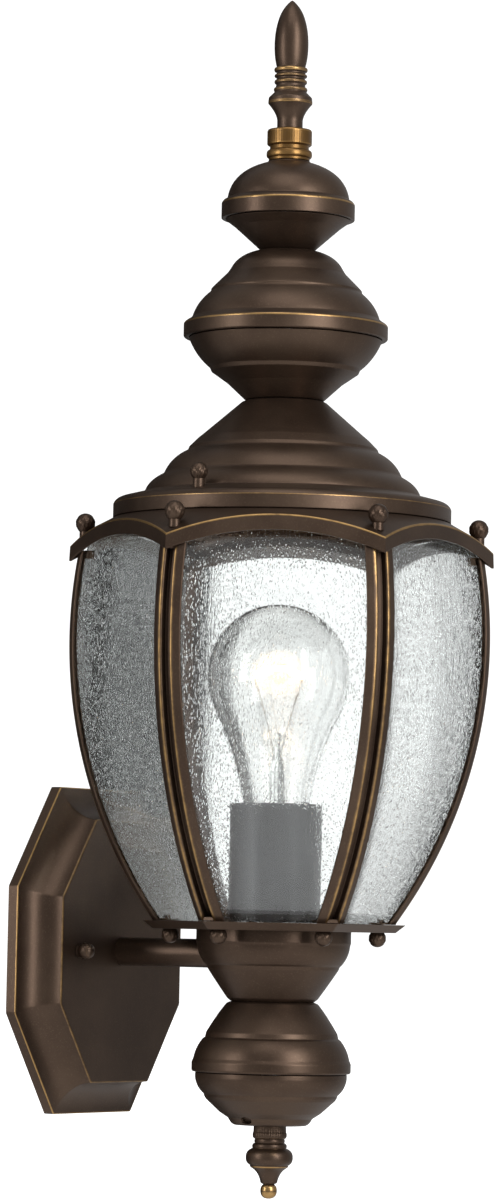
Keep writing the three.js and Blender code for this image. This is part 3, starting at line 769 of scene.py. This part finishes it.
for i in range(1, 7):
    ballPiece(f"crownNut{i}", "lantern", f"crown_nut_{i}", ballSettings["crown"])
    ballPiece(f"trayNut{i}", "lantern", f"tray_nut_{i}", ballSettings["tray"], down=True)
for i in range(1, 3):
    ballPiece(f"roofScrew{i}", f"roof_screw_{i}", f"roof_screw_{i}", ballSettings["roof"])
    low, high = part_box(f"canopy_nut_{i}")
    turnedPiece(f"canopyNut{i}", f"canopy_nut_{i}", [f"canopy_nut_{i}"], ballSettings["canopy"],
                segments=72, place=((low.x + high.x) / 2, high.y, (low.z + high.z) / 2),
                frameAxes=outFrame, knurl=knurled(1.4, 6.4, 18, 0.2, 1.5))
print("ball nuts made")

# Crown, ribs and glass.

crownSettings = {
    "edge": 78.3, "cornerZ": 173.7, "arch": 120.5, "skirt": 6.5, "ringR": 72.0, "ringZ": 185.5,
    "openR": 57.0, "perSide": 40, "upstandR": 69.6, "upstandIn": 68.4, "lidZ": 190.0, "lidLow": 188.8,
    "ringLow": 183.9,
}
cageSettings = {
    "belly": 89.7, "bellyZ": 134.9, "bow": 207.7, "bottomZ": 14.9, "topZ": 171.3,
    "groove": 1.9, "ridge": 3.6, "half": 6.4, "drop": 1.6, "depth": 4.6, "web": 3.5, "sheet": 1.0,
    "inset": 2.0, "thick": 3.0, "glassEdge": 2.4, "glassGap": 2.0, "firstTop": 178.0,
    "wave": 0.03, "waveAcross": 0.16, "waveUp": 0.035, "rubAndSheenBells": ((0.42, 1.8), (0.3, 0.5)),
}


# Every side's edge is an arch: a circle over the side's middle, so its height is the circle's
# height at the distance along the side.
def archHeight(across, s=crownSettings):
    half = s["edge"] * math.tan(math.pi / 6)
    base = math.sqrt(s["arch"] ** 2 - half ** 2)
    return s["cornerZ"] + np.sqrt(s["arch"] ** 2 - across ** 2) - base


def makeCrown(s):
    side = math.pi / 3
    angle = np.linspace(0, 2 * np.pi, 6 * s["perSide"], endpoint=False)
    swing = np.mod(angle, side) - side / 2
    edge = s["edge"] / np.cos(swing)
    top = archHeight(s["edge"] * np.tan(swing))
    flat = np.ones_like(edge)
    skirt = [(edge + 0.3, top - s["skirt"]), (edge, top)]
    rings = [(s[r] * flat, s[z] * flat) for r, z in (
        ("ringR", "ringZ"), ("upstandR", "ringZ"), ("upstandR", "lidZ"), ("openR", "lidZ"),
        ("openR", "lidLow"), ("upstandIn", "lidLow"), ("upstandIn", "ringLow"))]
    inside = [(edge - 1.4, top - 1.9), (edge - 0.9, top - s["skirt"])]
    knots = np.stack([np.stack(pair, -1) for pair in skirt + rings + inside], axis=1)
    rubs = np.array([0.0, 0.85] + [0.0] * 9)
    loop, marks = softenOutline(knots, np.ones(11, bool), rubs, 0.45, 0.5, 4)
    r, z = loop[..., 0], loop[..., 1]
    cosA, sinA = np.cos(angle)[:, None], np.sin(angle)[:, None]
    ringPiece("crownPlate", placed(np.stack([r * cosA, r * sinA, z], -1)), marks, "lantern", ["crown"])


makeCrown(crownSettings)


# The ribs' crest lies on a circle seen from the side: its radius less the sagitta at each height.
def crestRadius(z, s=cageSettings):
    return s["belly"] - s["bow"] + np.sqrt(s["bow"] ** 2 - (z - s["bellyZ"]) ** 2)


def turnAbout(points, degrees):
    c, s = math.cos(math.radians(degrees)), math.sin(math.radians(degrees))
    x, y = points[..., 0] * c - points[..., 1] * s, points[..., 0] * s + points[..., 1] * c
    return np.stack([x, y, points[..., 2]], -1)


# The folded section is carried up the crest circle, kept level, with its depth stretched by the
# slope so that the sheet keeps its thickness. Along each ridge's crest the mark is two bell curves:
# a narrow one for the rubbed brass line and a wide, fainter one that is a painted sheen, a painted
# highlight of brass over the rounded ridge.
def makeRib(number, s):
    g, ridge, half, sheet = s["groove"], s["ridge"], s["half"], s["sheet"]
    right = [
        (g, -s["web"], 0.0), (g, -0.45, 0.0), (g + 0.75, 0.0, 0.75), (ridge + 0.2, -0.28, 0.0),
        (half, -s["drop"], 0.1),
        (half, -s["drop"] - sheet, 0), (ridge + 0.2, -sheet, 0), (ridge + 0.2, -s["depth"], 0),
    ]
    section = right + [(-t, n, m) for t, n, m in reversed(right)]
    knots = np.array([(t, n) for t, n, m in section])
    rubs = np.array([m for t, n, m in section])
    loop, marks = softenOutline(knots, np.ones(len(knots), bool), rubs, 0.42, 0.2, 4)
    far = np.abs(loop[:, 0]) - (g + 0.9)
    # The wide bell is a painted sheen, a painted highlight, beside the narrow rubbed brass line.
    bell = sum(height * np.exp(-(far / width) ** 2) for height, width in s["rubAndSheenBells"])
    marks = np.where(loop[:, 1] > -2.0, bell, 0.0)
    z = np.linspace(s["bottomZ"], s["topZ"], 70)[:, None]
    rise = (z - s["bellyZ"]) / np.sqrt(s["bow"] ** 2 - (z - s["bellyZ"]) ** 2)
    x = crestRadius(z) + loop[None, :, 1] * np.sqrt(1 + rise ** 2)
    y = np.broadcast_to(loop[None, :, 0], x.shape)
    points = np.stack([x, y, np.broadcast_to(z, x.shape)], -1)
    bar = placed(turnAbout(points, 60 * (number - 1)))
    faces = gridFaces(bar, False, True)
    columns = loop.shape[0]
    ends = endCaps(columns, len(z))
    tabs, tabFaces = ribTabs(number, s, bar.shape[0] * columns)
    allPoints = np.concatenate([bar.reshape(-1, 3), tabs])
    rubAndSheen = np.concatenate([np.broadcast_to(marks, x.shape).ravel(), np.zeros(len(tabs))])
    newPiece(f"rib{number}", allPoints, faces + [ends] + tabFaces, "bronze", "lantern",
             [f"rib_{number}"], rubAndSheen)


# Foot and head tabs: rounded rectangles swept straight up, closed by flat ends.
def ribTabs(number, s, first):
    points, faces = [], []
    for middle, length, low, high in (
        (45.4, 13.0, s["bottomZ"], s["bottomZ"] + 1.8), (81.6, 7.0, s["topZ"] - 3.4, s["topZ"])):
        half = np.array([length / 2, 3.2])
        square = np.array([(1, 1), (-1, 1), (-1, -1), (1, -1)]) * half
        loop, unused = softenOutline(square, np.ones(4, bool), np.zeros(4), 1.0, 0.0, 4)
        rows = []
        for z, shrink in ((low, 0.94), (low + 0.25, 1.0), (high - 0.25, 1.0), (high, 0.94)):
            rows.append(np.column_stack([loop * shrink + (middle, 0), np.full(len(loop), z)]))
        grid = placed(turnAbout(np.array(rows), 60 * (number - 1)))
        start = first + sum(len(p) for p in points)
        faces.extend(f + start for f in gridFaces(grid, False, True))
        faces.append(endCaps(len(loop), len(rows)) + start)
        points.append(grid.reshape(-1, 3))
    return np.concatenate(points), faces


for i in range(1, 7):
    makeRib(i, cageSettings)


# A pane stands over u across and v up: its distance from the axis follows the ribs' circle, its half
# width is what the two ribs leave at that distance, its top is the crown's arch, and faint waves
# from drawing the sheet are added to both faces.
def makePane(number, s):
    across = np.linspace(-1, 1, 49)[:, None]
    up = np.linspace(0, 1, 97)[None, :]
    lean = math.cos(math.pi / 6)
    low = s["bottomZ"]

    def face(inset, phase):
        z = low + up * (s["firstTop"] - low) * np.ones_like(across)
        for repeat in range(3):
            away = lean * crestRadius(z) + s["ridge"] / 2 - s["inset"] - inset
            side = across * (away - 2 * s["glassEdge"]) * math.tan(math.pi / 6)
            z = low + up * (archHeight(side) - s["glassGap"] - low)
        wave = s["wave"] * np.sin(side * s["waveAcross"] + z * s["waveUp"] + phase)
        return np.stack([away + wave, side, z], -1)

    outer = face(0.0, number * 1.7)
    inner = face(s["thick"], number * 1.7 + 0.4)[:, ::-1]
    loop = np.concatenate([outer, inner], axis=1)
    points = placed(turnAbout(loop, 60 * number - 30))
    faces = gridFaces(points, False, True)
    ends = endCaps(loop.shape[1], len(across), flip=True)
    newPiece(f"pane{number}", points, faces + [ends], "seeded", "lantern", [f"glass_{number}"])


for i in range(1, 7):
    makePane(i, cageSettings)
print("cage made")

# Base: tray, cup, knob and finial.

traySettings = {"topR": 56.1, "bottomR": 51.8, "topZ": 14.8, "bottomZ": 11.4, "wall": 1.2, "hole": 5.4}


# A hexagon whose corners are eased, scaled to each row's corner radius and set at its height.
def makeTray(s):
    corner = np.radians(np.arange(6) * 60.0)
    hexagon = np.stack([np.cos(corner), np.sin(corner)], -1) * s["topR"]
    loop, unused = softenOutline(hexagon, np.ones(6, bool), np.zeros(6), 0.6, 2.0, 4)
    loop = loop / s["topR"]
    rows = [
        (s["hole"], s["topZ"] - s["wall"]), (s["topR"] - 3.6, s["topZ"] - s["wall"]),
        (s["bottomR"] - s["wall"], s["bottomZ"]), (s["bottomR"], s["bottomZ"], 0.0),
        (s["topR"], s["topZ"], 0.3), (s["hole"], s["topZ"]),
    ]
    knots, corners, rubs = readOutline(rows)
    outline, marks = softenOutline(knots, corners, rubs, 0.25, 0.3, 3)
    points = placed(np.concatenate([
        loop[:, None, :] * outline[None, :, :1],
        np.broadcast_to(outline[None, :, 1:], (len(loop), len(outline), 1)),
    ], -1))
    ringPiece("bottomTray", points, marks, "lantern", ["bottom_tray"])


makeTray(traySettings)

baseSettings = {
    "cup": [
        (4.6, -18.65), (17.6, -18.65), (19.3, -17.3), ((24.2, -10.4), (27.8, -4.9)), (28.3, -3.5),
        (29.2, -2.7), ((31.8, 0.5), (32.4, 4.2)), (32.6, 5.6), (32.9, 6.5), (32.9, 13.3),
        (31.6, 13.3), (31.2, 4.4), (26.6, -4.6), (17.4, -17.1), (4.6, -17.1),
    ],
    "knobUpper": [
        (4.6, -20), (4.6, -18.7), (17.8, -18.7), (19.4, -19.4), ((23.8, -24.8), (27.9, -31.9)),
        (28.3, -33.9), (29.3, -34.6), ((32.3, -38.4), (33.1, -42.9)), (33.8, -44.5, 0.2),
        (33.8, -47.9, 0.15), (33.3, -48.6), (32.3, -48.6), (31.7, -43.4), (27.2, -34.4), (17.4, -20),
    ],
    "knobLower": [
        (4.6, -70.8), (15.2, -70.8), (15.9, -70.4), (16.5, -70.0), (16.8, -69.6), (17.1, -69.2),
        (17.35, -68.8), (17.6, -68.4), (17.8, -68.0), (18.2, -67.65), (18.9, -67.2), (19.7, -66.7),
        (21.5, -65.5), (27.4, -60.1),
        (28.1, -59.0), (28.4, -57.9), ((31.6, -55.2), (32.2, -51)), (32.2, -48.9), (30.9, -48.9),
        (30.4, -52.4), (26.2, -58.4), (14.8, -69.5), (4.6, -69.5),
    ],
    "weep": {"angle": 176.0, "z": -68.6, "wide": 2.7, "tall": 1.5, "deep": 2.4},
    "finial": [
        (0, -83.4), (4.6, -83.4), (4.6, -71.1), (6.9, -71.1), (7.0, -73.7),
        ((7.6, -75), (7.0, -76.2, 0.5)),
        (6.3, -76.7), ((6.7, -77.5), (6.3, -78.3, 0.4)), (7.1, -78.8), ((7.6, -79.6), (7.2, -80.6, 0.5)),
        ((10.0, -81.5, 0.3), (10.0, -84.3)), ((10.1, -86.9), (8.2, -87.7, 0.2)), (8.1, -88.4, 0.8),
        (7.5, -88.9, 0.4), ((4.4, -90.6), (3.6, -94.9)), (3.4, -95.3), (2.5, -95.7), (2.4, -95.9),
        ((3.5, -96.5, 0.9), (3.55, -98.4, 1.0)), ((3.5, -101.9, 0.9), (0, -101.9, 1.0)),
    ],
}
turnedPiece("baseCup", "lantern", ["base_cup"], baseSettings["cup"], place=axisPlace)
turnedPiece("knobUpper", "lantern", ["knob_upper"], baseSettings["knobUpper"])


# A weep hole: inside an ellipse on the surface the radius drops steeply to the hole's depth.
def weepShape(s):
    def shape(angle, h, r):
        turn = np.arctan2(-np.cos(angle), np.sin(angle)) - math.radians(s["angle"])
        turn = (turn + np.pi) % (2 * np.pi) - np.pi
        away = np.sqrt((turn * 17.0 / s["wide"]) ** 2 + ((h - s["z"]) / s["tall"]) ** 2)
        outside = (r > 15.5) & (np.abs(h - s["z"]) < 3)
        return -s["deep"] * np.clip((1 - away) / 0.22, 0, 1) * outside
    return shape


turnedPiece("knobLower", "lantern", ["knob_lower"], baseSettings["knobLower"], segments=432,
            knurl=weepShape(baseSettings["weep"]))
turnedPiece("finialBottom", "finial_bottom", ["finial_bottom"], baseSettings["finial"], segments=216,
            knurl=knurled(-76.0, -71.4, 44, 0.16, 0.0))
print("base made")

# Lamp.

lampSettings = {
    "sleeve": [
        (4.6, 15.2), (19.6, 15.2), (19.6, 65.5), (18.5, 65.5), (18.5, 16.4), (4.6, 16.4),
    ],
    "holder": [
        (4.6, 22), (16.8, 22), (17.6, 24), (17.6, 60), (16.9, 61.5), (13.9, 61.5), (13.9, 33), (4.6, 33),
    ],
    "envelope": [
        (12.4, 61.6), (13.4, 61.6), (14.0, 65.5), ((15.0, 72), (16.0, 76)), ((18.6, 87), (23.6, 98.4)),
        ((30, 109.6), (30, 120.2)), ((30, 132.9), (21.2, 141.4)), ((12.4, 150.2), (0, 150.2)),
        (0, 149.4), ((12, 149.4), (20.7, 140.7)), ((29.2, 132.4), (29.2, 120.2)),
        ((29.2, 110), (22.8, 98.8)), ((17.8, 87.3), (15.2, 76.2)), ((14.2, 72.2), (13.1, 65.5)),
    ],
    "stem": [
        (0, 42.8), (9.6, 42.8), ((9.2, 46), (5.2, 50)), ((3.4, 56), (3.3, 78)), ((3.1, 84), (1.9, 86)),
        (1.5, 88), ((1.1, 89), (1.2, 92)), ((2.3, 94), (1.2, 95.5)), ((0.6, 96), (0, 96)),
    ],
    "capThread": {"low": 40.5, "high": 60.0, "pitch": 3.6, "depth": 0.55},
    "arcLow": 119.5, "arcRise": 3.5, "arcHalf": 10.5, "coilR": 1.1, "coilTurns": 40, "coilWire": 0.22,
    "wireR": 0.3, "supportWire": 0.16, "supportFoot": 95.0,
    "glowZ": 121.0, "glowR": 11.0, "glowH": 9.5, "glowVeils": 7,
}
turnedPiece("socketSleeve", "lantern", ["socket_sleeve"], lampSettings["sleeve"], "sleeve", soft=0.4)
turnedPiece("lampholder", "lantern", ["lampholder"], lampSettings["holder"], "phenolic", soft=0.4)
turnedPiece("bulbEnvelope", "bulb", ["bulb_glass"], lampSettings["envelope"], "bulb", soft=0.3, band=0.1)


# Rolled thread: the radius dips by a cosine of height over pitch less the turn.
def threadShape(s):
    def shape(angle, h, r):
        inside = np.clip(np.minimum(h - s["low"], s["high"] - h) / 1.2, 0, 1) * (r > 12.5)
        wave = np.cos(2 * np.pi * h / s["pitch"] - angle)
        return -s["depth"] * inside * (0.5 + 0.5 * wave)
    return shape


capRise = [(13.0, z) for z in np.arange(40.0, 60.9, 0.4)]
turnedPiece("bulbCap", "bulb", ["bulb_cap"],
            [(0, 33.9), (4.2, 33.9), (5, 36), (11.4, 38.4)] + capRise + [(13, 61.2), (12.1, 61.2),
             (12.1, 41), (4, 38.6), (0, 38.6)],
            "capBrass", soft=0.1, band=0.05, steps=1, knurl=threadShape(lampSettings["capThread"]))
turnedPiece("bulbStem", "bulb", ["bulb_mount"], lampSettings["stem"], "stem", segments=48,
            place=axisPlace, soft=0.2, band=0.1)


# A round wire along a path: at each point a ring stands square to the path's direction.
def wirePoints(path, radius, sides):
    along = np.gradient(path, axis=0)
    along /= np.linalg.norm(along, axis=1, keepdims=True)
    guide = np.where(np.abs(along[:, 2:3]) < 0.9, [[0.0, 0.0, 1.0]], [[1.0, 0.0, 0.0]])
    first = np.cross(along, guide)
    first /= np.linalg.norm(first, axis=1, keepdims=True)
    second = np.cross(along, first)
    angle = np.linspace(0, 2 * np.pi, sides, endpoint=False)[None, :, None]
    ring = np.cos(angle) * first[:, None] + np.sin(angle) * second[:, None]
    return path[:, None] + radius * ring


def wirePiece(name, path, radius, finish, sides=8):
    points = placed(wirePoints(np.asarray(path, float), radius, sides))
    faces = gridFaces(points, False, True)
    newPiece(name, points, faces + [endCaps(sides, len(path))], finish, "bulb")


# A quadratic curve from foot to tip, pulled towards bend.
def bentPath(foot, bend, tip):
    u = np.linspace(0, 1, 24)[:, None]
    return (1 - u) ** 2 * foot + 2 * u * (1 - u) * bend + u ** 2 * tip


# The filament is a helix wound round a shallow arch between two posts.
def makeFilament(s):
    across = np.array(levelDirection(-60).cross(Vector((0, 0, 1))))
    t = np.linspace(-1, 1, s["coilTurns"] * 12)
    arch = across * t[:, None] * s["arcHalf"]
    arch[:, 2] = s["arcLow"] + s["arcRise"] * (1 - t ** 2)
    spin = np.pi * s["coilTurns"] * t
    outward = np.cross(across, [0, 0, 1.0])
    lift = np.array([0, 0, 1.0])
    coil = arch + s["coilR"] * (np.cos(spin)[:, None] * outward + np.sin(spin)[:, None] * lift)
    wirePiece("filament", coil, s["coilWire"], "filament", 5)
    for side, name in ((-1, "postLeft"), (1, "postRight")):
        foot = across * side * 1.0 + lift * 84.0
        bend = across * side * 3.5 + lift * 98.0
        tip = across * side * s["arcHalf"] + lift * s["arcLow"]
        wirePiece(name, bentPath(foot, bend, tip), s["wireR"], "wire")
    for side, name in ((-0.45, "supportLeft"), (0.45, "supportRight")):
        foot = lift * s["supportFoot"]
        tip = across * side * s["arcHalf"] + lift * (s["arcLow"] + s["arcRise"] * 0.8 - 0.6)
        bend = (foot + tip) / 2 - lift * 2.0
        wirePiece(name, bentPath(foot, bend, tip), s["supportWire"], "wire", 6)


makeFilament(lampSettings)


# The glow is a set of thin nested ellipsoids: radius times the sine and cosine of latitude, each
# veil lighter than what it covers, so that it fades from the filament outwards.
def makeGlow(s):
    turn = np.linspace(0, 2 * np.pi, 48, endpoint=False)[:, None]
    latitude = np.linspace(-np.pi / 2, np.pi / 2, 25)[None, :]
    points, faces = [], []
    for share in np.linspace(0.25, 1.0, s["glowVeils"]):
        r, h = s["glowR"] * share, s["glowH"] * share
        ring = np.maximum(r * np.cos(latitude), 0)
        ring[:, [0, -1]] = 0
        veil = np.stack(np.broadcast_arrays(
            ring * np.cos(turn), ring * np.sin(turn), s["glowZ"] + h * np.sin(latitude)), -1)
        start = sum(len(p) for p in points)
        faces.extend(f + start for f in gridFaces(veil, True, False))
        points.append(placed(veil.reshape(-1, 3)))
    newPiece("filamentGlow", np.concatenate(points), faces, "glow", "bulb")


makeGlow(lampSettings)
print("lamp made")

# Arm and back plate.

plateSettings = {
    "rim": (120.6, 140.2, 59.5, 54.0), "face": (92.6, 113.0, 44.3, 45.7),
    "rimY": 4.9, "faceY": 18.7, "sheet": 1.4, "hub": 4.9,
}


def octagonLoop(width, height, flatX, flatZ):
    w, h, x, z = width / 2, height / 2, flatX / 2, flatZ / 2
    knots = np.array([(w, z), (x, h), (-x, h), (-w, z), (-w, -z), (-x, -h), (x, -h), (w, -z)])
    loop, unused = softenOutline(knots, np.ones(8, bool), np.zeros(8), 0.7, 1.5, 4)
    return loop


# From the rim's edge the sheet runs in a cove, a quarter of an ellipse that starts level and ends
# steep, up to the flat face. Rows: share of the face's octagon, its scale, distance out, rub.
def makePlate(s):
    rim, face = octagonLoop(*s["rim"]), octagonLoop(*s["face"])
    turn = np.linspace(0, np.pi / 2, 26)
    rimY, faceY, deep = s["rimY"], s["faceY"], s["sheet"]
    hub = s["hub"] / (s["face"][0] / 2)
    rows = [(0, 1, 0.0, 0), (0, 1, 2.4, 0), (0, 1, rimY - 0.75, 0), (0, 1, rimY - 0.35, 1),
            (0.006, 1, rimY - 0.08, 1), (0.02, 1, rimY, 1), (0.045, 1, rimY + 0.02, 0)]
    for a in turn[1:-2]:
        rows.append((0.045 + 0.955 * math.sin(a), 1, rimY + (faceY - rimY) * (1 - math.cos(a)), 0))
    rows += [(0.998, 1, faceY - 1.1, 0), (1, 1, faceY - 0.5, 0.5), (1, 0.997, faceY - 0.12, 0.6),
             (1, 0.991, faceY, 0.5), (1, 0.978, faceY, 0)]
    rows += [(1, scale, faceY, 0) for scale in np.linspace(0.9, hub, 8)]
    rows += [(1, hub, faceY - deep, 0), (1, 0.965, faceY - deep, 0)]
    for a in turn[::-3][1:]:
        rows.append((math.sin(a) * 0.98, 0.972, rimY - deep + (faceY - rimY) * (1 - math.cos(a)), 0))
    rows += [(0, 0.98, 0.0, 0)]
    mix, scale, depth, marks = np.array(rows, float).T
    blend = mix[None, :, None]
    flat = (rim[:, None] * (1 - blend) + face[:, None] * blend) * scale[None, :, None]
    y = np.broadcast_to(-depth, flat.shape[:2])
    points = np.stack([flat[..., 0], y, flat[..., 1]], -1) * mm
    ringPiece("backPlate", points, marks, "lantern", ["back_plate"])


makePlate(plateSettings)

armLow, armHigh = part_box("arm_tube")
armLength = (armHigh.y - armLow.y) / mm
turnedPiece("armTube", "lantern", ["arm_tube"],
            [(4.9, 0), (6.1, 0), (6.1, armLength), (4.9, armLength)], segments=96, soft=0.4,
            place=(axisPlace.x, armHigh.y, (armLow.z + armHigh.z) / 2), frameAxes=outFrame)
print("arm and back plate made")

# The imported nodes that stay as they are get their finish.

nodeFinish = {
    "stack_rod": "zinc", "stack_nut": "zinc", "base_stem": "zinc", "arm_nut_cup": "zinc",
    "arm_nut_wall": "zinc", "mounting_bar": "zinc", "canopy_stud_1": "zinc", "canopy_stud_2": "zinc",
    "ground_screw": "capBrass", "lead_line": "insulation", "lead_neutral": "insulation",
}
for node, finish in nodeFinish.items():
    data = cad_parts[node].data
    data.materials.clear()
    data.materials.append(finishes[finish])
